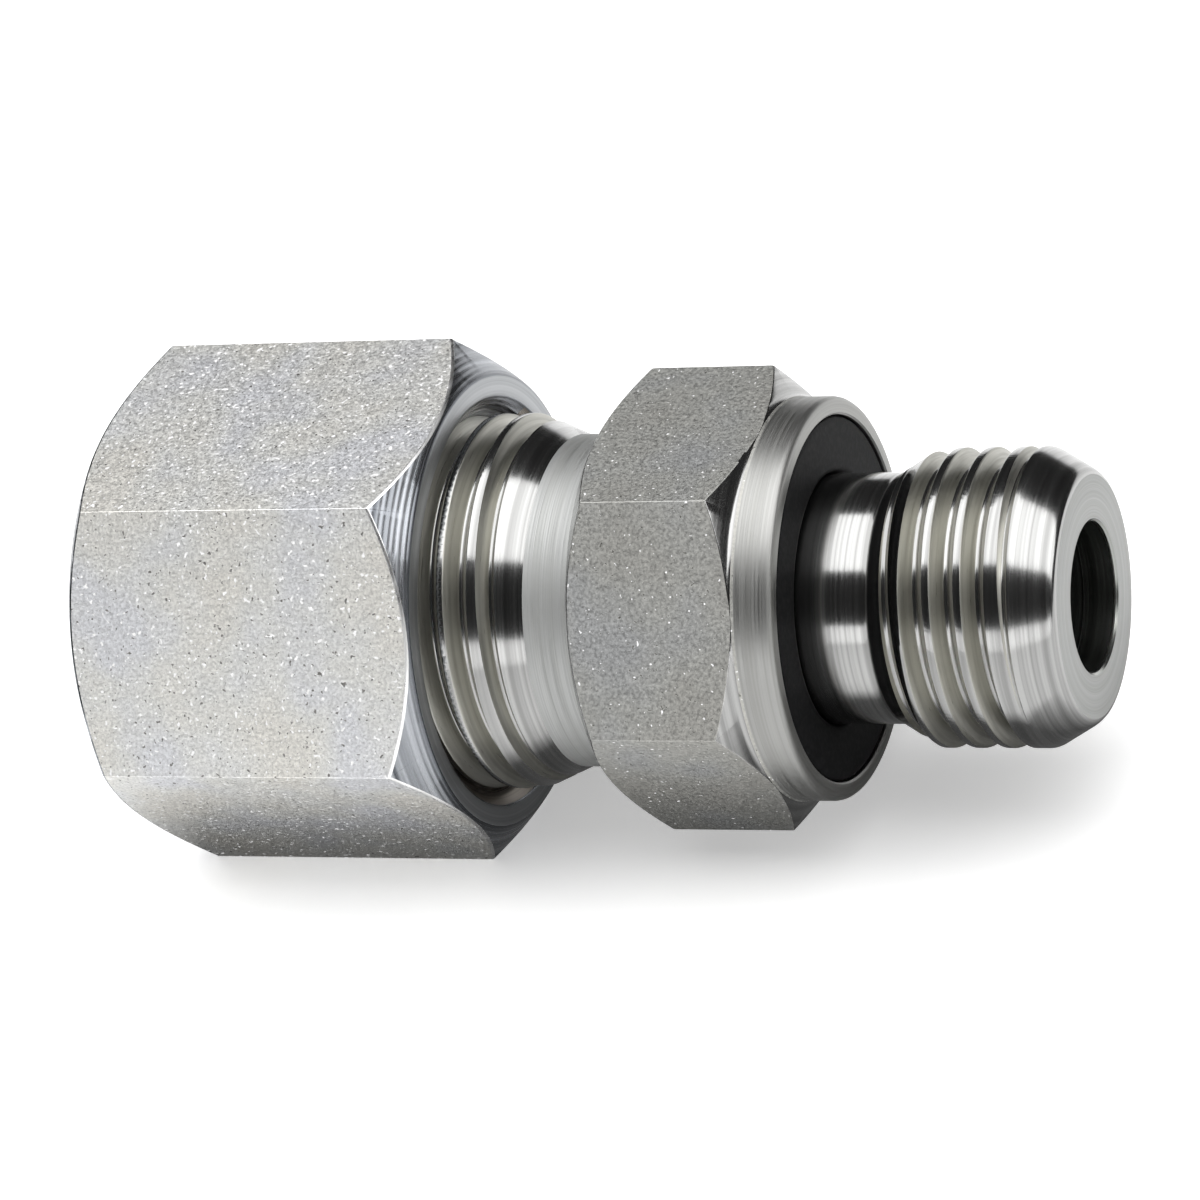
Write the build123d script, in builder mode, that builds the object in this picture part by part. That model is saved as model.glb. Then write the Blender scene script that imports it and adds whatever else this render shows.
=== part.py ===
from build123d import *
import math
import os

# A straight stud coupling for a steel tube. It lies along X with the tube end at minus X and the
# stud end at plus X. The origin is on the axis, in the plane of the shoulder that seals on the port.
# All sizes are in millimetres and all angles in degrees.

# Tube, flow bore and threads
tube_diameter = 10.0
flow_diameter = 7.0
nut_thread_diameter = 18.0
stud_thread_diameter = 14.0
thread_pitch = 1.5
thread_depth_per_pitch = 0.613

# Stud end
stud_length = 12.3
undercut_length = 3.3
undercut_below_root = 0.23
runout_angle = 30.0
stud_chamfer_angle = 30.0
stud_chamfer_height = 1.17

# Collar, seal recess and seal
collar_length = 1.97
seal_room = 2.75
lip_wall = 0.85
lip_radius = 0.35
recess_depth = 1.8
seal_below_lip = 0.1
seal_edge_radius = 0.25

# Body hexagon and tube end
bar_over_thread = 0.5
bar_over_collar = 0.05
hexagon_length = 8.13
hexagon_roll = -4.23
chamfer_bite = 0.2
hexagon_chamfer_angle = 32.0
collar_fillet = 0.4
neck_length = 2.78
neck_below_root = 0.18
neck_cone_length = 2.4
body_reach = 22.5
cone_half_angle = 12.0
cone_height = 1.1
socket_depth = 7.0

# Cutting ring
nose_wall = 0.4
nose_margin = 0.7
ring_shoulder = 0.95
ring_barrel_length = 2.7
ring_back_wall = 0.55
bite_land = 1.0
bite_groove_length = 1.6
bite_groove_depth = 0.25

# Union nut
nut_wall = 2.0
nut_length = 17.7
nut_cone_angle = 45.0
tube_hole_length = 4.4
nut_front_chamfer_angle = 40.0
nut_mouth_chamfer = 0.8
turns_left_to_seat = 1.0

# Clearances and small edges
thread_clearance = 0.05
tube_clearance = 0.05
tube_hole_clearance = 0.1
ring_clearance = 0.1
seat_clearance = 0.05
seal_clearance = 0.05
edge_break = 0.1
turning_over_corners = 0.5


def tan(angle):
    return math.tan(math.radians(angle))


def sin(angle):
    return math.sin(math.radians(angle))


# Radii of the body
thread_depth = thread_depth_per_pitch * thread_pitch
flow_radius = flow_diameter / 2
stud_crest = stud_thread_diameter / 2 - thread_clearance
undercut_radius = stud_thread_diameter / 2 - thread_depth - undercut_below_root
stud_face_radius = stud_crest - stud_chamfer_height
tube_end_crest = nut_thread_diameter / 2 - thread_clearance
neck_radius = nut_thread_diameter / 2 - thread_depth - neck_below_root
recess_radius = undercut_radius + seal_room
collar_radius = recess_radius + lip_wall
bar_flat = max(nut_thread_diameter / 2 + bar_over_thread, collar_radius + bar_over_collar)
bar_corner = bar_flat / math.cos(math.radians(30))
socket_radius = tube_diameter / 2 + tube_clearance
cone_mouth_radius = socket_radius + cone_height

# Places of the body along X
tube_end = -body_reach
hexagon_front = -collar_length
hexagon_back = hexagon_front - hexagon_length
neck_back = hexagon_back - neck_length
crest_front = neck_back - neck_cone_length
socket_floor = tube_end + socket_depth
cone_end = tube_end + cone_height / tan(cone_half_angle)
stud_crest_back = undercut_length + (stud_crest - undercut_radius) / tan(runout_angle)
stud_crest_front = stud_length - stud_chamfer_height / tan(stud_chamfer_angle)

# Adapter body, turned from hexagon bar in one piece
body_turning_radius = bar_corner + turning_over_corners
body_face_radius = bar_flat - chamfer_bite
chamfer_back = hexagon_back + (body_turning_radius - body_face_radius) * tan(hexagon_chamfer_angle)
chamfer_front = hexagon_front - (body_turning_radius - collar_radius) * tan(hexagon_chamfer_angle)
with BuildPart() as adapter_body:
    with BuildSketch(Plane.YZ.offset(tube_end)):
        RegularPolygon(radius=bar_flat, side_count=6, major_radius=False, rotation=hexagon_roll)
    extrude(amount=body_reach + stud_length)
    with BuildSketch(Plane.XZ):
        with BuildLine():
            Polyline(
                (tube_end, cone_mouth_radius),
                (tube_end, tube_end_crest - thread_depth),
                (tube_end + thread_depth, tube_end_crest),
                (crest_front, tube_end_crest),
                (neck_back, neck_radius),
                (hexagon_back, neck_radius),
                (hexagon_back, body_face_radius),
                (chamfer_back, body_turning_radius),
                (chamfer_front, body_turning_radius),
            )
            FilletPolyline(
                (chamfer_front, body_turning_radius),
                (hexagon_front, collar_radius),
                (-lip_radius, collar_radius),
                radius=collar_fillet,
            )
            JernArc(start=(-lip_radius, collar_radius), tangent=(1, 0), radius=lip_radius, arc_size=-90)
            Polyline(
                (0, collar_radius - lip_radius),
                (0, recess_radius),
                (-recess_depth, recess_radius),
                (-recess_depth, undercut_radius),
                (undercut_length, undercut_radius),
                (stud_crest_back, stud_crest),
                (stud_crest_front, stud_crest),
                (stud_length, stud_face_radius),
                (stud_length, flow_radius + edge_break),
                (stud_length - edge_break, flow_radius),
                (socket_floor, flow_radius),
                (socket_floor, socket_radius),
                (cone_end, socket_radius),
                (tube_end, cone_mouth_radius),
            )
        make_face()
    revolve(axis=Axis.X, mode=Mode.INTERSECT)
adapter_body.part.label = "adapter_body"

# Stud seal, moulded rubber ring that lies in the recess round the stud
seal_front = -seal_below_lip
with BuildPart() as stud_seal:
    with BuildSketch(Plane.XZ) as seal_section:
        with BuildLine():
            Polyline(
                (-recess_depth, undercut_radius + seal_clearance),
                (-recess_depth, recess_radius - seal_clearance),
                (seal_front, recess_radius - seal_clearance),
                (seal_front, undercut_radius + seal_clearance),
                close=True,
            )
        make_face()
        fillet(seal_section.vertices().group_by(Axis.X)[-1], radius=seal_edge_radius)
    revolve(axis=Axis.X)
stud_seal.part.label = "stud_seal"

# Cutting ring, held back from its seat in the body's cone by the turns that the nut still has to go
nose_radius = socket_radius + nose_wall
seat_depth = (cone_mouth_radius - nose_radius) / tan(cone_half_angle)
nose_length = seat_depth + nose_margin
nose_back_radius = nose_radius + nose_length * tan(cone_half_angle)
ring_radius = cone_mouth_radius + ring_shoulder
ring_back_radius = socket_radius + ring_back_wall
nose_tip = tube_end + seat_depth - seat_clearance / sin(cone_half_angle) - turns_left_to_seat * thread_pitch
ring_shoulder_front = nose_tip - nose_length
barrel_front = ring_shoulder_front - (ring_radius - nose_back_radius)
barrel_back = barrel_front - ring_barrel_length
ring_back = barrel_back - (ring_radius - ring_back_radius) / tan(nut_cone_angle)
bite_groove_front = nose_tip - bite_land
bite_groove_back = bite_groove_front - bite_groove_length
with BuildPart() as cutting_ring:
    with BuildSketch(Plane.XZ):
        with BuildLine():
            Polyline(
                (nose_tip, socket_radius),
                (nose_tip, nose_radius),
                (ring_shoulder_front, nose_back_radius),
                (barrel_front, ring_radius),
                (barrel_back, ring_radius),
                (ring_back, ring_back_radius),
                (ring_back, socket_radius),
                (bite_groove_back, socket_radius),
                (bite_groove_front, socket_radius + bite_groove_depth),
                (bite_groove_front, socket_radius),
                close=True,
            )
        make_face()
    revolve(axis=Axis.X)
cutting_ring.part.label = "cutting_ring"

# Union nut, whose inner cone pushes on the back of the cutting ring
nut_flat = nut_thread_diameter / 2 + nut_wall
nut_turning_radius = nut_flat / math.cos(math.radians(30)) + turning_over_corners
nut_face_radius = nut_flat - chamfer_bite
nut_bore_radius = nut_thread_diameter / 2 + thread_clearance
tube_hole_radius = tube_diameter / 2 + tube_hole_clearance
nut_cone_back = (
    ring_back
    - (ring_back_radius - tube_hole_radius) / tan(nut_cone_angle)
    - ring_clearance / sin(nut_cone_angle)
)
nut_cone_front = nut_cone_back + (nut_bore_radius - tube_hole_radius) / tan(nut_cone_angle)
nut_back = nut_cone_back - tube_hole_length
nut_front = nut_back + nut_length
nut_chamfer_height = nut_turning_radius - nut_face_radius
with BuildPart() as union_nut:
    with BuildSketch(Plane.YZ.offset(nut_back)):
        RegularPolygon(radius=nut_flat, side_count=6, major_radius=False)
    extrude(amount=nut_length)
    with BuildSketch(Plane.XZ):
        with BuildLine():
            Polyline(
                (nut_back, tube_hole_radius + edge_break),
                (nut_back, nut_face_radius),
                (nut_back + nut_chamfer_height * tan(hexagon_chamfer_angle), nut_turning_radius),
                (nut_front - nut_chamfer_height * tan(nut_front_chamfer_angle), nut_turning_radius),
                (nut_front, nut_face_radius),
                (nut_front, nut_bore_radius + nut_mouth_chamfer),
                (nut_front - nut_mouth_chamfer, nut_bore_radius),
                (nut_cone_front, nut_bore_radius),
                (nut_cone_back, tube_hole_radius),
                (nut_back + edge_break, tube_hole_radius),
                close=True,
            )
        make_face()
    revolve(axis=Axis.X, mode=Mode.INTERSECT)
union_nut.part.label = "union_nut"

os.makedirs("parts", exist_ok=True)
export_step(adapter_body.part, "parts/adapter_body.step")
export_step(stud_seal.part, "parts/stud_seal.step")
export_step(cutting_ring.part, "parts/cutting_ring.step")
export_step(union_nut.part, "parts/union_nut.step")
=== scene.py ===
import math

import bmesh
import bpy
from mathutils import Matrix, Vector


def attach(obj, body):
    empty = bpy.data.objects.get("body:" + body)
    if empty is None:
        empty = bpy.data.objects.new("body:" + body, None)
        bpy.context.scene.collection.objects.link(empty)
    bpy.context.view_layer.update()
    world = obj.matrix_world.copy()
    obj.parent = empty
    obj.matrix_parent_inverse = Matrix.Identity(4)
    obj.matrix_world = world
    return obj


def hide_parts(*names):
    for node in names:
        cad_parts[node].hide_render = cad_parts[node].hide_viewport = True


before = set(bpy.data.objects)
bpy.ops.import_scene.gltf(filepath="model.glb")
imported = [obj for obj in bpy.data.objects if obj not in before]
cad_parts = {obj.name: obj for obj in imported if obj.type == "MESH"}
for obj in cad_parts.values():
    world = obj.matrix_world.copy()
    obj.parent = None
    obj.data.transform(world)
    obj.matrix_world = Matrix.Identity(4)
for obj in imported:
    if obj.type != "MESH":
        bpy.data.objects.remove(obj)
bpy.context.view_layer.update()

# Adapter body: one piece of free-cutting steel, turned from a 19 mm hexagon bar and zinc plated.
# The bar is trimmed to the turned outline, its chamfered edges are eased, and then the stud's and
# the tube end's threads are cut. Outlines are (x, radius) in millimetres, as the CAD's are.
MM = 0.001
PITCH = 1.5 * MM
STEPS = 160

TUBE_END_X = -22.5
SOCKET_FLOOR_X = -15.5
HEXAGON_BACK_X = -10.1
RECESS_FLOOR_X = -1.8
STUD_END_X = 12.3
TUBE_END_CREST = 8.95
NECK_RADIUS = 7.9
COLLAR_RADIUS = 9.45
LIP_ROUNDING = 0.35
RECESS_RADIUS = 8.6
UNDERCUT_RADIUS = 5.85
STUD_CREST = 6.95
FLOW_RADIUS = 3.5
SOCKET_RADIUS = 5.05
CONE_MOUTH_RADIUS = 6.15
OVER_BODY_CORNERS = 11.47


def arc(x, radius, size, angles):
    """Points on an arc round (x, radius), to the thousandth of a millimetre."""
    return [(round(x + size * math.cos(math.radians(angle)), 3),
             round(radius + size * math.sin(math.radians(angle)), 3)) for angle in angles]


BODY_PROFILE = [
    # Face, chamfer and thread crests of the tube end
    (TUBE_END_X, CONE_MOUTH_RADIUS), (TUBE_END_X, 8.03), (-21.58, TUBE_END_CREST),
    (-15.28, TUBE_END_CREST),
    # Neck, with a small fillet against the hexagon
    (-12.88, NECK_RADIUS), (-10.3, NECK_RADIUS), (-10.16, 7.94), (HEXAGON_BACK_X, 8.1),
    # Hexagon, chamfered on both sides, with a soft turn into the collar
    (HEXAGON_BACK_X, 9.3), (-8.744, OVER_BODY_CORNERS), (-3.232, OVER_BODY_CORNERS),
    (-2.13, 9.707), (-2.04, 9.577), (-1.93, 9.49), (-1.8, 9.455), (-1.66, COLLAR_RADIUS),
    # Rounded lip of the collar and the seal's recess inside it
    *arc(-LIP_ROUNDING, COLLAR_RADIUS - LIP_ROUNDING, LIP_ROUNDING, (90, 67.5, 45, 22.5, 0)),
    (0, 8.68), (-0.08, RECESS_RADIUS), (RECESS_FLOOR_X, RECESS_RADIUS),
    (RECESS_FLOOR_X, UNDERCUT_RADIUS),
    # Undercut and its run-out into the stud's crests
    (3.1, UNDERCUT_RADIUS), (3.3, 5.88), (3.46, 5.94), (5.1, 6.89), (5.204, STUD_CREST),
    # Rounded chamfer and face of the stud
    (10.2, STUD_CREST), (10.36, 6.93), (10.52, 6.87), (11.9, 6.07), (12.1, 5.93), (12.24, 5.79),
    (STUD_END_X, 5.62), (STUD_END_X, 3.6),
    # Flow bore, tube socket and 24 degree cone
    (12.2, FLOW_RADIUS), (SOCKET_FLOOR_X, FLOW_RADIUS), (SOCKET_FLOOR_X, SOCKET_RADIUS),
    (-17.325, SOCKET_RADIUS), (TUBE_END_X, CONE_MOUTH_RADIUS),
]


def turn(name, profile):
    """Draws a ring out along X from each point of the profile to the next."""
    bpy.ops.object.select_all(action="DESELECT")
    x, radius = profile[0][0] * MM, profile[0][1] * MM
    bpy.ops.mesh.primitive_circle_add(vertices=STEPS, radius=radius, rotation=(0, math.pi / 2, 0))
    piece = bpy.context.object
    piece.name = piece.data.name = name
    bpy.ops.object.transform_apply()
    piece.rotation_euler.x = math.pi / STEPS
    piece.location.x = x
    bpy.ops.object.transform_apply()
    bpy.ops.object.mode_set(mode="EDIT")
    bpy.ops.mesh.select_all(action="SELECT")
    for next_x, next_radius in profile[1:]:
        next_x, next_radius = next_x * MM, next_radius * MM
        bpy.ops.mesh.extrude_region_move(TRANSFORM_OT_translate={"value": (next_x - x, 0, 0)})
        scale = next_radius / radius
        bpy.ops.transform.resize(value=(1, scale, scale), center_override=(next_x, 0, 0))
        x, radius = next_x, next_radius
    bpy.ops.mesh.select_all(action="SELECT")
    bpy.ops.mesh.remove_doubles(threshold=0.002 * MM)
    bpy.ops.mesh.normals_make_consistent(inside=False)
    bpy.ops.object.mode_set(mode="OBJECT")
    return piece


BAR_EDGE = 0.03 * MM


def hexagon_bar(name, flat, roll, start, end):
    """Drawn hexagon bar, flat from the axis to a flat, with its long edges rounded."""
    bpy.ops.object.select_all(action="DESELECT")
    bpy.ops.mesh.primitive_cylinder_add(
        vertices=6, radius=flat / math.cos(math.pi / 6), depth=end - start,
        location=((start + end) / 2, 0, 0), rotation=(0, math.pi / 2, 0))
    bar = bpy.context.object
    bar.name = bar.data.name = name
    bpy.ops.object.transform_apply()
    bar.rotation_euler.x = roll
    bpy.ops.object.transform_apply()
    bpy.ops.object.mode_set(mode="EDIT")
    bpy.ops.mesh.select_mode(type="EDGE")
    bpy.ops.mesh.select_all(action="DESELECT")
    bpy.ops.object.mode_set(mode="OBJECT")
    for edge in bar.data.edges:
        a, b = (bar.data.vertices[v].co for v in edge.vertices)
        edge.select = abs(a.x - b.x) > 0.9 * (end - start)
    bpy.ops.object.mode_set(mode="EDIT")
    bpy.ops.mesh.bevel(offset=BAR_EDGE, segments=4, affect="EDGES")
    bpy.ops.object.mode_set(mode="OBJECT")
    return bar


def combine(piece, tool, operation):
    """Cuts or trims a piece with another solid, which is used up."""
    boolean = piece.modifiers.new(operation, "BOOLEAN")
    boolean.object = tool
    boolean.operation = operation
    boolean.solver = "EXACT"
    bpy.ops.object.select_all(action="DESELECT")
    bpy.context.view_layer.objects.active = piece
    piece.select_set(True)
    bpy.ops.object.modifier_apply(modifier=operation)
    bpy.data.objects.remove(tool)


MERGE_WITHIN = 0.012 * MM
ALONG_BAR = 0.02
SHARP_EDGE = math.radians(20)


def round_chamfers(piece, width, beyond):
    """Takes the sharpness off the curved edges where the turned chamfers meet the bar's flats.
    They are the sharp edges beyond a distance from the axis, with a flat on one side only."""
    bpy.ops.object.select_all(action="DESELECT")
    bpy.context.view_layer.objects.active = piece
    piece.select_set(True)
    bpy.ops.object.mode_set(mode="EDIT")
    bpy.ops.mesh.select_all(action="SELECT")
    bpy.ops.mesh.remove_doubles(threshold=MERGE_WITHIN)
    bpy.ops.mesh.select_all(action="DESELECT")
    mesh = bmesh.from_edit_mesh(piece.data)
    for edge in mesh.edges:
        flats = [abs(face.normal.x) < ALONG_BAR for face in edge.link_faces]
        edge.select_set(sum(flats) == 1 and edge.calc_face_angle() > SHARP_EDGE
                        and min(v.co.yz.length for v in edge.verts) > beyond)
    bmesh.update_edit_mesh(piece.data)
    bpy.ops.mesh.bevel(offset=width, segments=2, affect="EDGES", clamp_overlap=False)
    bpy.ops.object.mode_set(mode="OBJECT")


def groove(flank):
    """The section of a thread's groove, from one flank given from the middle outwards."""
    return [(-x, radius) for x, radius in reversed(flank)] + flank


RUN_OUT_SLOPE = 0.64


def helix_tool(name, section, start, turns, run_out=math.inf):
    """The path of a threading tool. The section is put at +Y, with its middle at start along X,
    and carried round X right-handed, one pitch a turn. Beyond run_out along X the tool leaves the
    work on a slope, so that the thread fades out on a chamfered end."""
    bpy.ops.object.select_all(action="DESELECT")
    bpy.ops.mesh.primitive_circle_add(vertices=len(section))
    tool = bpy.context.object
    tool.name = tool.data.name = name
    for vertex, (x, radius) in zip(tool.data.vertices, section):
        vertex.co = (start * MM + x * MM, radius * MM, 0)
    screw = tool.modifiers.new("helix", "SCREW")
    screw.axis = "X"
    screw.angle = 2 * math.pi
    screw.screw_offset = PITCH
    screw.iterations = turns
    screw.steps = screw.render_steps = STEPS
    bpy.ops.object.modifier_apply(modifier="helix")
    bpy.ops.object.mode_set(mode="EDIT")
    bpy.ops.mesh.select_all(action="SELECT")
    bpy.ops.mesh.fill_holes(sides=0)
    bpy.ops.mesh.select_all(action="SELECT")
    bpy.ops.mesh.normals_make_consistent(inside=False)
    bpy.ops.object.mode_set(mode="OBJECT")
    for vertex in tool.data.vertices:
        radius = vertex.co.yz.length
        lift = 1 + max(0, vertex.co.x - run_out * MM) * RUN_OUT_SLOPE / radius
        vertex.co.y, vertex.co.z = vertex.co.y * lift, vertex.co.z * lift
    return tool


SMOOTH_BELOW = math.radians(32)


def finish_mesh(piece):
    """Shades the turned surfaces smooth, and lets large faces lead small ones beside them."""
    bpy.ops.object.select_all(action="DESELECT")
    bpy.context.view_layer.objects.active = piece
    piece.select_set(True)
    bpy.ops.object.shade_smooth_by_angle(angle=SMOOTH_BELOW)
    weighted = piece.modifiers.new("weighted", "WEIGHTED_NORMAL")
    weighted.keep_sharp = True
    bpy.ops.object.modifier_apply(modifier="weighted")


BODY_FLAT = 9.5 * MM
BODY_ROLL = math.radians(-4.23)
BODY_CHAMFERS_BEYOND = 9.46 * MM
STUD_GROOVE = groove([
    (0.05, 6.15), (0.11, 6.175), (0.154, 6.23), (0.512, 6.85), (0.545, 6.9), (0.58, 6.938),
    (0.62, STUD_CREST), (0.68, 7.07),
])
TUBE_END_GROOVE = groove([
    (0.05, 8.085), (0.1, 8.11), (0.135, 8.162), (0.532, 8.85), (0.565, 8.9), (0.6, 8.938),
    (0.64, TUBE_END_CREST), (0.70, 9.07),
])
STUD_GROOVE_START = 2.168
STUD_RUN_OUT = 9.2
TUBE_END_GROOVE_START = -23.952

body = turn("body_steel", BODY_PROFILE)
combine(body, hexagon_bar("bar", BODY_FLAT, BODY_ROLL, -24 * MM, 14 * MM), "INTERSECT")
round_chamfers(body, 0.07 * MM, BODY_CHAMFERS_BEYOND)
combine(body, helix_tool("stud_tool", STUD_GROOVE, STUD_GROOVE_START, 7, STUD_RUN_OUT),
        "DIFFERENCE")
combine(body, helix_tool("tube_end_tool", TUBE_END_GROOVE, TUBE_END_GROOVE_START, 8),
        "DIFFERENCE")
finish_mesh(body)


def linear(colour):
    """An sRGB hex colour as linear RGBA."""
    parts = [int(colour[i:i + 2], 16) / 255 for i in (1, 3, 5)]
    return [p / 12.92 if p <= 0.04045 else ((p + 0.055) / 1.055) ** 2.4 for p in parts] + [1]


def node(tree, kind, settings, inputs):
    """Adds a node with its settings, and its inputs as values or links."""
    made = tree.nodes.new("ShaderNode" + kind)
    for name, value in settings.items():
        setattr(made, name, value)
    for name, value in inputs.items():
        if isinstance(value, bpy.types.NodeSocket):
            tree.links.new(value, made.inputs[name])
        else:
            made.inputs[name].default_value = value
    return made


def new_material(name):
    material = bpy.data.materials.new(name)
    material.use_nodes = True
    material.node_tree.nodes.clear()
    return material, material.node_tree


# A noise node's values lie mostly between these two, and a wave node's bands of scale 1 are
# WAVE_LENGTH metres apart. MARK_STRETCH lets the turning marks drift as they go round.
NOISE_LOW, NOISE_HIGH = 0.3, 0.7
WAVE_LENGTH = 0.314
MARK_STRETCH = 0.004


def turned_metal(name, light, dark, roughness, mark, depth, feed=0.17 * MM, ridge=0.15):
    """Lathe-turned and plated steel. The tool leaves fine rings round X, mark apart and depth
    deep, which spread a reflection along the axis, with here and there a duller, darker ring.
    Over them lie the marks of its feed, at an even distance and ridge times as high. Where dark
    is set far below light, the darker rings are painted: shade in the bore, a reflection on the
    nut's chamfers."""
    material, tree = new_material(name)
    place = node(tree, "TexCoord", {}, {}).outputs["Object"]
    parts = node(tree, "SeparateXYZ", {}, {"Vector": place})
    across = node(tree, "CombineXYZ", {}, {"Y": parts.outputs["Y"], "Z": parts.outputs["Z"]})
    radius = node(tree, "VectorMath", {"operation": "LENGTH"}, {0: across.outputs["Vector"]})
    rings = node(tree, "CombineXYZ", {}, {
        "X": parts.outputs["X"], "Y": radius.outputs["Value"]})
    stretch = node(tree, "VectorMath", {"operation": "MULTIPLY"}, {
        0: place, 1: (0, MARK_STRETCH, MARK_STRETCH)})
    spread = node(tree, "VectorMath", {"operation": "ADD"}, {
        0: rings.outputs["Vector"], 1: stretch.outputs["Vector"]})
    fine = node(tree, "TexNoise", {}, {
        "Vector": spread.outputs["Vector"], "Scale": 1 / mark, "Detail": 3.0, "Roughness": 0.6})
    coarse = node(tree, "TexNoise", {}, {
        "Vector": spread.outputs["Vector"], "Scale": 0.2 / mark, "Detail": 2.0})
    shade = node(tree, "MapRange", {}, {
        "Value": coarse.outputs["Fac"], "From Min": 0.35, "From Max": 0.6})
    colour = node(tree, "MixRGB", {}, {
        "Fac": shade.outputs["Result"], "Color1": linear(dark), "Color2": linear(light)})
    rough = node(tree, "MapRange", {}, {
        "Value": fine.outputs["Fac"], "From Min": NOISE_LOW, "From Max": NOISE_HIGH,
        "To Min": roughness * 0.75, "To Max": roughness * 1.3})
    feed_marks = node(tree, "TexWave", {"bands_direction": "X"}, {
        "Vector": spread.outputs["Vector"], "Scale": WAVE_LENGTH / feed, "Distortion": 0.5,
        "Detail": 1.0})
    cut = node(tree, "Math", {"operation": "MULTIPLY_ADD"}, {
        0: feed_marks.outputs["Fac"], 1: ridge, 2: fine.outputs["Fac"]})
    bump = node(tree, "Bump", {}, {
        "Height": cut.outputs["Value"], "Distance": depth, "Strength": 1.0})
    shader = node(tree, "BsdfPrincipled", {}, {
        "Base Color": colour.outputs["Color"], "Metallic": 1.0,
        "Roughness": rough.outputs["Result"], "Normal": bump.outputs["Normal"]})
    node(tree, "OutputMaterial", {}, {"Surface": shader.outputs["BSDF"]})
    return material


def drawn_bar(name, light, warm, cool, pit_colour, roughness, grain, relief, pit_size, pit_share,
              tint_size, painted_glint_share):
    """Drawn and plated bar. Its skin is grainy, with small dark pits where the drawing soap
    etched it and painted glints, white spots that stand in for the zinc's sparkle, and the
    passivation gives it a faint shift of tint. The higher pit_share and the glint share are,
    the fewer pits and painted glints there are."""
    material, tree = new_material(name)
    place = node(tree, "TexCoord", {}, {}).outputs["Object"]
    tint = node(tree, "TexNoise", {}, {"Vector": place, "Scale": 1 / tint_size, "Detail": 2.0})
    tinted = node(tree, "ValToRGB", {}, {"Fac": tint.outputs["Fac"]})
    ramp = tinted.color_ramp
    ramp.elements[0].position, ramp.elements[0].color = 0.35, linear(warm)
    ramp.elements[1].position, ramp.elements[1].color = 0.65, linear(cool)
    ramp.elements.new(0.5).color = linear(light)
    grit = node(tree, "TexNoise", {}, {
        "Vector": place, "Scale": 1 / grain, "Detail": 3.0, "Roughness": 0.65})
    speckle = node(tree, "MapRange", {}, {
        "Value": grit.outputs["Fac"], "From Min": NOISE_LOW, "From Max": NOISE_HIGH,
        "To Min": 0.72, "To Max": 1.12})
    grained = node(tree, "MixRGB", {"blend_type": "MULTIPLY"}, {
        "Fac": 1.0, "Color1": tinted.outputs["Color"], "Color2": speckle.outputs["Result"]})
    spots = node(tree, "TexNoise", {}, {"Vector": place, "Scale": 1 / pit_size, "Detail": 1.0})
    pits = node(tree, "MapRange", {}, {
        "Value": spots.outputs["Fac"], "From Min": pit_share, "From Max": pit_share + 0.05})
    pitted = node(tree, "MixRGB", {}, {
        "Fac": pits.outputs["Result"], "Color1": grained.outputs["Color"],
        "Color2": linear(pit_colour)})
    # Painted glints: white, less metallic spots that stand in for the zinc's fine sparkle
    glint_noise = node(tree, "TexNoise", {}, {
        "Vector": place, "Scale": 1.15 / pit_size, "Detail": 0.0})
    painted_glints = node(tree, "MapRange", {}, {
        "Value": glint_noise.outputs["Fac"], "From Min": painted_glint_share,
        "From Max": painted_glint_share + 0.04})
    colour = node(tree, "MixRGB", {}, {
        "Fac": painted_glints.outputs["Result"], "Color1": pitted.outputs["Color"],
        "Color2": linear("#ffffff")})
    metallic = node(tree, "MapRange", {}, {
        "Value": painted_glints.outputs["Result"], "To Min": 1.0, "To Max": 0.2})
    rough = node(tree, "MapRange", {}, {
        "Value": grit.outputs["Fac"], "From Min": NOISE_LOW, "From Max": NOISE_HIGH,
        "To Min": roughness * 0.8, "To Max": roughness * 1.2})
    sunk = node(tree, "Math", {"operation": "SUBTRACT"}, {
        0: grit.outputs["Fac"], 1: pits.outputs["Result"]})
    bump = node(tree, "Bump", {}, {
        "Height": sunk.outputs["Value"], "Distance": relief, "Strength": 1.0})
    shader = node(tree, "BsdfPrincipled", {}, {
        "Base Color": colour.outputs["Color"], "Metallic": metallic.outputs["Result"],
        "Roughness": rough.outputs["Result"], "Normal": bump.outputs["Normal"]})
    node(tree, "OutputMaterial", {}, {"Surface": shader.outputs["BSDF"]})
    return material


# Sharp, near-mirror bands of light and dark on the thread crests, the undercut and the chamfers
bright_turned = turned_metal(
    "zinc_plated_steel_bright_turned", light="#adadac", dark="#8e8e8d", roughness=0.16,
    mark=0.05 * MM, depth=0.0003 * MM)
# An even, soft grey on the neck and on the stud's face, with no clear reflection
satin_turned = turned_metal(
    "zinc_plated_steel_satin_turned", light="#b4b5b4", dark="#adaeac", roughness=0.6,
    mark=0.04 * MM, depth=0.0015 * MM)
# Blurred bands on the collar, brushed round it
half_bright = turned_metal(
    "zinc_plated_steel_half_bright_turned", light="#a0a09e", dark="#92928f", roughness=0.41,
    mark=0.05 * MM, depth=0.0008 * MM)
# A matte mid grey on the hexagon, finely grained, with a few pits and hardly any painted glints
body_skin = drawn_bar(
    "zinc_plated_steel_drawn_bar", light="#bfbfbb", warm="#bcbbb6", cool="#bdbebe",
    pit_colour="#84847f", roughness=0.52, grain=0.15 * MM, relief=0.010 * MM,
    pit_size=0.2 * MM, pit_share=0.7, tint_size=6 * MM, painted_glint_share=0.79)
# Painted shade: near-black rings in the bore's colour, for a hole the light hardly gets into
bore_painted_shade = turned_metal(
    "zinc_plated_steel_bore_painted_shade", light="#a8aaa6", dark="#2c2e2c", roughness=0.22,
    mark=0.2 * MM, depth=0.016 * MM, feed=0.3 * MM, ridge=0.1)
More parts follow.
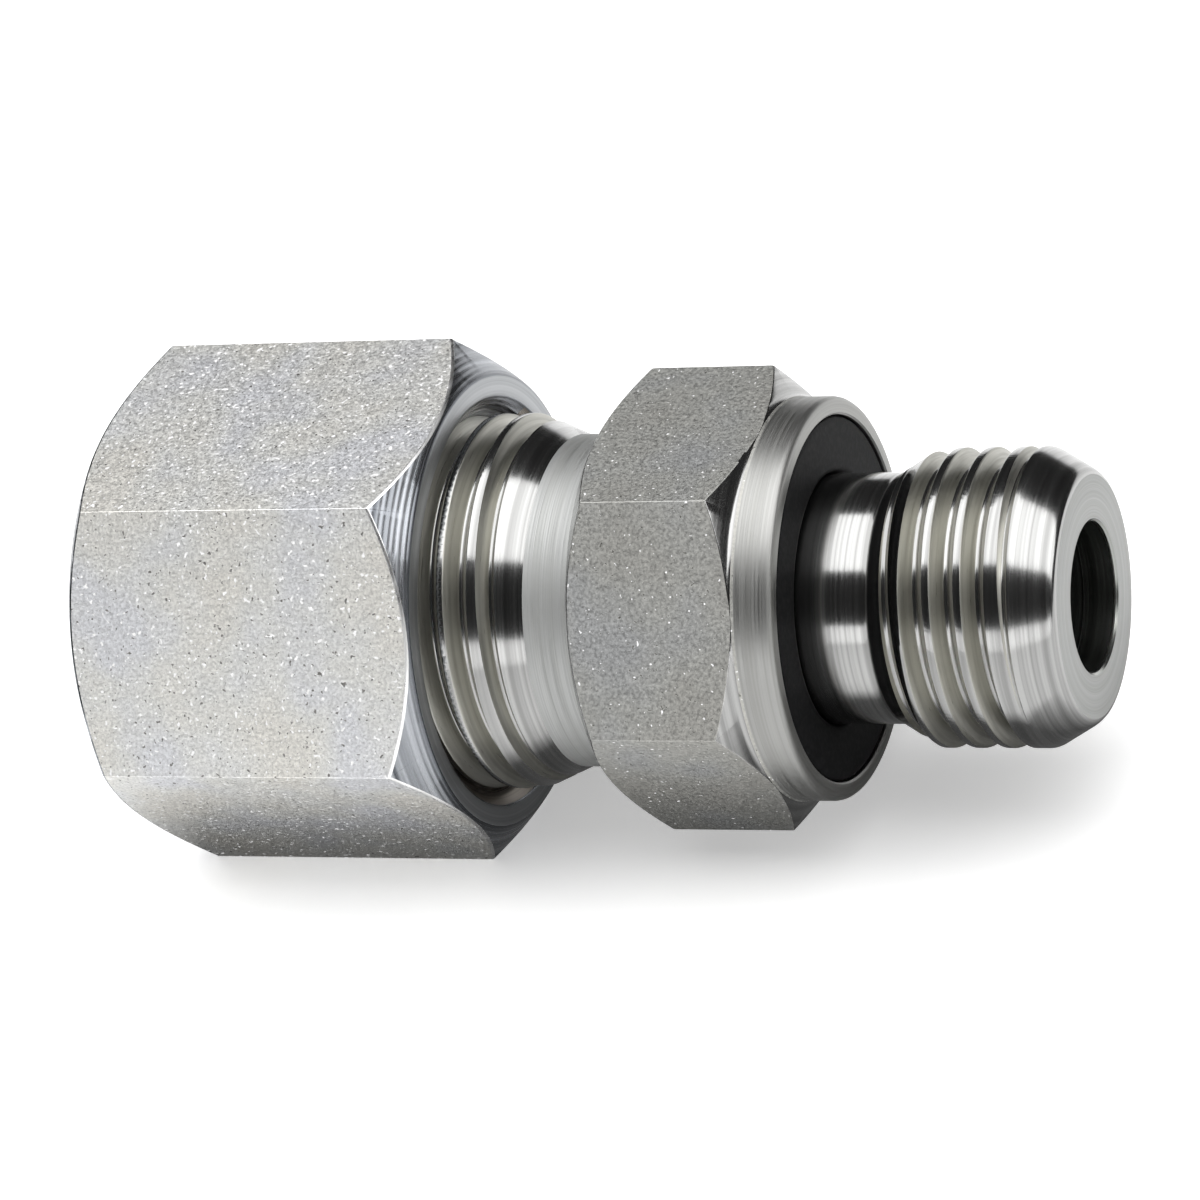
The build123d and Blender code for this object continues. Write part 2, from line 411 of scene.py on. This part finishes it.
# Dull, slightly warm bands between the bright crests
flanks = turned_metal(
    "zinc_plated_steel_thread_flank", light="#b2b1aa", dark="#9a9992", roughness=0.36,
    mark=0.05 * MM, depth=0.0008 * MM)

# Where the finishes lie, in millimetres, and how far a face's normal leans to X there
BAR_BEYOND, BAR_LEAN = 9.46, 0.3
BORE_WITHIN, BORE_TO = 4.9, 12.29
STUD_FACE_FROM = 12.28
NECK_FROM, NECK_TO, NECK_WITHIN = -12.88, -10.05, 9.4
COLLAR_FROM, COLLAR_TO, COLLAR_BEYOND = -1.75, 0.05, 8.5
TUBE_THREAD_TO, TUBE_THREAD_BEYOND = -12.9, 8.05
STUD_THREAD_FROM, STUD_THREAD_TO, STUD_THREAD_BEYOND = 4, 11.5, 6.12
FLANK_LEAN_LEAST, FLANK_LEAN_MOST = 0.6, 0.93


def body_finish(x, radius, normal):
    if radius > BAR_BEYOND and abs(normal.x) < BAR_LEAN:
        return body_skin
    # The bore gets the painted shade
    if radius < BORE_WITHIN and x < BORE_TO:
        return bore_painted_shade
    if x > STUD_FACE_FROM or (NECK_FROM < x < NECK_TO and radius < NECK_WITHIN):
        return satin_turned
    if COLLAR_FROM < x < COLLAR_TO and radius > COLLAR_BEYOND:
        return half_bright
    threaded = ((x < TUBE_THREAD_TO and radius > TUBE_THREAD_BEYOND)
                or (STUD_THREAD_FROM < x < STUD_THREAD_TO and radius > STUD_THREAD_BEYOND))
    if threaded and FLANK_LEAN_LEAST < abs(normal.x) < FLANK_LEAN_MOST:
        return flanks
    return bright_turned


def paint(piece, materials, choose):
    """Gives each face the material that choose returns for its middle and its normal."""
    for material in materials:
        piece.data.materials.append(material)
    for face in piece.data.polygons:
        middle = face.center / MM
        material = choose(middle.x, middle.yz.length, face.normal)
        face.material_index = materials.index(material)


paint(body, [bright_turned, satin_turned, body_skin, bore_painted_shade, flanks, half_bright], body_finish)
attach(body, "adapter")
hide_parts("adapter_body")

# Stud seal: a ring of black nitrile rubber, moulded in one piece. It is pressed into the recess
# behind the stud, where its own stretch holds it, and stands a little below the metal lip.
SEAL_BACK_X = RECESS_FLOOR_X
SEAL_FRONT_X = -0.1
SEAL_OUTSIDE = 8.55
SEAL_INSIDE = 5.9
SEAL_PROFILE = [
    (SEAL_BACK_X, SEAL_INSIDE), (SEAL_BACK_X, SEAL_OUTSIDE),
    # Rounded outer edge
    (-0.36, SEAL_OUTSIDE), (-0.24, 8.52), (-0.15, 8.45), (-0.11, 8.34), (SEAL_FRONT_X, 8.2),
    # Rounded inner edge
    (SEAL_FRONT_X, 6.3), (-0.11, 6.16), (-0.15, 6.04), (-0.24, 5.94), (-0.36, SEAL_INSIDE),
    (SEAL_BACK_X, SEAL_INSIDE),
]
seal = turn("seal_rubber", SEAL_PROFILE)
finish_mesh(seal)

# A soft, deep black with a faint dusty mottle and hardly any shine
rubber, tree = new_material("nitrile_rubber_moulded")
place = node(tree, "TexCoord", {}, {}).outputs["Object"]
skin = node(tree, "TexNoise", {}, {"Vector": place, "Scale": 1 / (0.2 * MM), "Detail": 3.0})
dust = node(tree, "MapRange", {}, {
    "Value": skin.outputs["Fac"], "From Min": 0.4, "From Max": 0.75})
tone = node(tree, "MixRGB", {}, {
    "Fac": dust.outputs["Result"], "Color1": linear("#0e0e0f"), "Color2": linear("#1d1d1e")})
grain = node(tree, "Bump", {}, {"Height": skin.outputs["Fac"], "Distance": 0.004 * MM})
shader = node(tree, "BsdfPrincipled", {}, {
    "Base Color": tone.outputs["Color"], "Roughness": 0.6, "Specular IOR Level": 0.08,
    "Normal": grain.outputs["Normal"]})
node(tree, "OutputMaterial", {}, {"Surface": shader.outputs["BSDF"]})
seal.data.materials.append(rubber)
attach(seal, "adapter")
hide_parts("stud_seal")

# Cutting ring: steel, turned, then hardened and phosphated. It lies loose between the body's cone
# and the nut's, and its thin nose bites into the tube when the nut is tightened.
NOSE_TIP_X = -20.947
BITE_EDGE_X = -21.947
RING_RADIUS = 7.1
RING_PROFILE = [
    # Nose, tapered as the body's cone is
    (NOSE_TIP_X, SOCKET_RADIUS), (NOSE_TIP_X, 5.4), (-20.99, 5.45), (-24.94, 6.299),
    # Barrel, with its edges eased
    (-25.7, 7.06), (-25.83, RING_RADIUS), (-28.36, RING_RADIUS), (-28.5, 7.04),
    # Back, tapered as the nut's cone is
    (-29.87, 5.67), (-29.941, 5.56), (-29.941, 5.13), (-29.86, SOCKET_RADIUS),
    # Bore, with the relief behind the biting edge
    (-23.547, SOCKET_RADIUS), (BITE_EDGE_X, 5.3), (BITE_EDGE_X, SOCKET_RADIUS),
    (NOSE_TIP_X, SOCKET_RADIUS),
]
ring = turn("ring_steel", RING_PROFILE)
finish_mesh(ring)

# A darker grey than the plated steel, seen only through the tube hole
phosphated = turned_metal(
    "hardened_steel_phosphated", light="#8f8e8a", dark="#75746f", roughness=0.3,
    mark=0.06 * MM, depth=0.001 * MM)
ring.data.materials.append(phosphated)
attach(ring, "ring")
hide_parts("cutting_ring")

# Union nut: one piece of steel, cut from a 22 mm cold-drawn hexagon bar, chamfered, bored,
# threaded inside and zinc plated. It screws onto the body's tube end and pushes on the ring.
NUT_FLAT = 11 * MM
NUT_CHAMFERS_BEYOND = 10.95 * MM
NUT_FRONT_X = -17.283
NUT_BACK_X = -34.983
OVER_NUT_CORNERS = 13.202
TUBE_HOLE_RADIUS = 5.1
NUT_THREAD_ROOT = 9.06
NUT_THREAD_CREST = 8.25
NUT_PROFILE = [
    # Rounded rim and chamfer of the mouth
    (NUT_FRONT_X, 9.95), (NUT_FRONT_X, 10.66), (-17.305, 10.77), (-17.367, 10.9),
    (-19.299, OVER_NUT_CORNERS),
    # Chamfer and face of the back
    (-33.482, OVER_NUT_CORNERS), (-34.908, 10.92), (-34.96, 10.82), (NUT_BACK_X, 10.7),
    # Tube hole and inner cone
    (NUT_BACK_X, 5.35), (-34.93, 5.2), (-34.8, TUBE_HOLE_RADIUS), (-30.583, TUBE_HOLE_RADIUS),
    (-26.633, 9.05),
    # Relief behind the thread, its crests and the countersunk mouth
    (-26.62, NUT_THREAD_ROOT), (-24.4, NUT_THREAD_ROOT), (-23.8, NUT_THREAD_CREST),
    (-18.883, NUT_THREAD_CREST), (-17.37, 9.76), (-17.305, 9.84), (NUT_FRONT_X, 9.95),
]
NUT_GROOVE = groove([
    (0.06, 9.04), (0.12, 9.03), (0.17, 8.99), (0.55, 8.36), (0.58, 8.31), (0.61, 8.27),
    (0.65, NUT_THREAD_CREST), (0.69, 8.13),
])
# Half a pitch from the body's grooves, so that the two threads mesh
NUT_GROOVE_START = TUBE_END_GROOVE_START - PITCH / MM / 2

nut = turn("nut_steel", NUT_PROFILE)
combine(nut, hexagon_bar("nut_bar", NUT_FLAT, 0, -36 * MM, -16 * MM), "INTERSECT")
round_chamfers(nut, 0.09 * MM, NUT_CHAMFERS_BEYOND)
combine(nut, helix_tool("nut_tool", NUT_GROOVE, NUT_GROOVE_START, 6), "DIFFERENCE")
finish_mesh(nut)

# A pale grey with painted white glints, dark pits and a faint shift of tint, on the six flats
nut_skin = drawn_bar(
    "zinc_plated_steel_drawn_nut_bar", light="#f0f0ed", warm="#f1efe9", cool="#ecedf0",
    pit_colour="#8a8986", roughness=0.45, grain=0.14 * MM, relief=0.013 * MM,
    pit_size=0.22 * MM, pit_share=0.68, tint_size=5 * MM, painted_glint_share=0.73)
# Coarse feed ridges round the chamfers, with a painted reflection: near-black rings in the colour
nut_chamfer_painted_reflection = turned_metal(
    "zinc_plated_steel_rough_turned_painted_reflection", light="#b0b3b8", dark="#3c4046", roughness=0.26,
    mark=0.1 * MM, depth=0.008 * MM, feed=0.2 * MM, ridge=1.0)
# Painted highlight: a thin, near-white line where the front chamfer meets the flats
nut_edge_painted_highlight = turned_metal(
    "zinc_plated_steel_edge_painted_highlight", light="#fbfbfb", dark="#dcdcda", roughness=0.3,
    mark=0.2 * MM, depth=0.004 * MM)
# Plain grey rings on the two end faces
nut_face = turned_metal(
    "zinc_plated_steel_faced", light="#b2b4b6", dark="#9b9da0", roughness=0.42,
    mark=0.06 * MM, depth=0.002 * MM)
# A warmer, darker grey inside the nut
nut_thread = turned_metal(
    "zinc_plated_steel_tapped", light="#b5aea6", dark="#8d867e", roughness=0.3,
    mark=0.06 * MM, depth=0.001 * MM)

# Where the finishes lie, in millimetres, and how far a face's normal leans to X there
BACK_FACE_TO = -34.97
MOUTH_FROM, MOUTH_LEAN = -17.3, 0.9
FLATS_BEYOND, FLATS_LEAN = 10.9, 0.06
EDGE_BEYOND, EDGE_LEAN, EDGE_FROM = 10.95, 0.6, -20
INSIDE_WITHIN = 9.2


def nut_finish(x, radius, normal):
    lean = abs(normal.x)
    if x < BACK_FACE_TO or (x > MOUTH_FROM and lean > MOUTH_LEAN):
        return nut_face
    if radius > FLATS_BEYOND and lean < FLATS_LEAN:
        return nut_skin
    # The front chamfer's edge gets the painted highlight
    if radius > EDGE_BEYOND and FLATS_LEAN <= lean < EDGE_LEAN and x > EDGE_FROM:
        return nut_edge_painted_highlight
    # The chamfers get the painted reflection
    return nut_chamfer_painted_reflection if radius > INSIDE_WITHIN else nut_thread


paint(nut, [nut_skin, nut_chamfer_painted_reflection, nut_thread, nut_edge_painted_highlight, nut_face], nut_finish)
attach(nut, "nut")
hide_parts("union_nut")

# Studio: a white table under the fitting. In reflections the table is painted dark close to the
# fitting, a painted shadow of the fitting beneath it, which gives the steel its dark bands.
FLOOR_Z = -11 * MM
FITTING_MIDDLE_X = -11.3 * MM
PAINTED_SHADOW_HALF_WIDTH, PAINTED_SHADOW_HALF_LENGTH = 10 * MM, 23 * MM
PAINTED_SHADOW_FADE_WIDTH, PAINTED_SHADOW_FADE_LENGTH = 13.5 * MM, 30 * MM
bpy.ops.object.select_all(action="DESELECT")
bpy.ops.mesh.primitive_plane_add(size=6, location=(0, 0, FLOOR_Z))
floor = bpy.context.object
floor.name = "floor"

# A clean white ground that still takes the fitting's soft shadow
table, tree = new_material("white_table")
place = node(tree, "TexCoord", {}, {}).outputs["Object"]
centred = node(tree, "VectorMath", {"operation": "ADD"}, {
    0: place, 1: (-FITTING_MIDDLE_X, 0, 0)})
reach = node(tree, "VectorMath", {"operation": "ABSOLUTE"}, {0: centred.outputs["Vector"]})
reach = node(tree, "SeparateXYZ", {}, {"Vector": reach.outputs["Vector"]})
beside = node(tree, "MapRange", {}, {
    "Value": reach.outputs["Y"], "From Min": PAINTED_SHADOW_HALF_WIDTH, "From Max": PAINTED_SHADOW_FADE_WIDTH})
beyond = node(tree, "MapRange", {}, {
    "Value": reach.outputs["X"], "From Min": PAINTED_SHADOW_HALF_LENGTH, "From Max": PAINTED_SHADOW_FADE_LENGTH})
outside_painted_shadow = node(tree, "Math", {"operation": "MAXIMUM"}, {
    0: beside.outputs["Result"], 1: beyond.outputs["Result"]})
path = node(tree, "LightPath", {}, {})
direct = node(tree, "Math", {"operation": "SUBTRACT"}, {
    0: 1.0, 1: path.outputs["Is Glossy Ray"]})
shown = node(tree, "Math", {"operation": "MAXIMUM"}, {
    0: outside_painted_shadow.outputs["Value"], 1: direct.outputs["Value"]})
# Painted shadow: dark grey for glossy rays within the patch round the fitting, white elsewhere
tone = node(tree, "MixRGB", {}, {
    "Fac": shown.outputs["Value"], "Color1": linear("#404040"), "Color2": linear("#fbfbfb")})
shader = node(tree, "BsdfDiffuse", {}, {"Color": tone.outputs["Color"]})
fill = node(tree, "MapRange", {}, {
    "Value": path.outputs["Is Camera Ray"], "To Min": 0.1, "To Max": 0.4})
glow = node(tree, "Emission", {}, {
    "Color": linear("#ffffff"), "Strength": fill.outputs["Result"]})
both = node(tree, "AddShader", {}, {0: shader.outputs["BSDF"], 1: glow.outputs["Emission"]})
node(tree, "OutputMaterial", {}, {"Surface": both.outputs["Shader"]})
floor.data.materials.append(table)


def area_light(name, width, height, watts, location, rotation):
    data = bpy.data.lights.new(name, "AREA")
    light = bpy.data.objects.new(name, data)
    bpy.context.scene.collection.objects.link(light)
    data.shape = "RECTANGLE"
    data.size, data.size_y = width, height
    data.energy = watts
    light.location = location
    light.rotation_euler = rotation


# A large softbox overhead makes the upper bands of light, and a low board in front the lower ones.
# Both reach far to the right, because the stud's chamfer mirrors that side.
area_light("softbox", 2.2, 0.5, 9.0, (0.3, 0.04, 0.45), (0, 0, 0))
area_light("board", 2.2, 0.19, 2.5, (0.3, -0.6, 0.07), (math.pi / 2, 0, 0))

# Camera, as fitted to the photo's outline: it looks down on the fitting by RISE, turned towards
# the stud's end, and is tilted a little about its own view.
AIM = Vector((-12.28 * MM, 0, 0))
TURN_TO_CAMERA = math.radians(22.787)
RISE = math.radians(40.26)
TILT = math.radians(0.385)
DISTANCE = 0.269126
side = Vector((0, -math.cos(RISE), math.sin(RISE)))
over = Vector((0, math.sin(RISE), math.cos(RISE)))
along = Vector((1, 0, 0))
back = math.sin(TURN_TO_CAMERA) * along + math.cos(TURN_TO_CAMERA) * side
level = math.cos(TURN_TO_CAMERA) * along - math.sin(TURN_TO_CAMERA) * side
right = math.cos(TILT) * level - math.sin(TILT) * over
up = math.sin(TILT) * level + math.cos(TILT) * over
bpy.ops.object.camera_add(location=AIM + DISTANCE * back)
camera = bpy.context.object
camera.rotation_euler = Matrix((right, up, back)).transposed().to_euler()
camera.data.lens = 170.04
camera.data.sensor_width = 36
camera.data.clip_start = 0.01
bpy.context.scene.camera = camera

# The room: white where the camera sees it, and dim to everything else, for contrast on the steel
world = bpy.data.worlds.new("studio")
bpy.context.scene.world = world
world.use_nodes = True
tree = world.node_tree
tree.nodes.clear()
path = node(tree, "LightPath", {}, {})
room = node(tree, "Background", {}, {"Color": linear("#343434"), "Strength": 1.0})
white = node(tree, "Background", {}, {"Color": linear("#ffffff"), "Strength": 1.0})
seen = node(tree, "MixShader", {}, {
    0: path.outputs["Is Camera Ray"], 1: room.outputs["Background"],
    2: white.outputs["Background"]})
node(tree, "OutputWorld", {}, {"Surface": seen.outputs["Shader"]})
bpy.context.scene.view_settings.view_transform = "Standard"
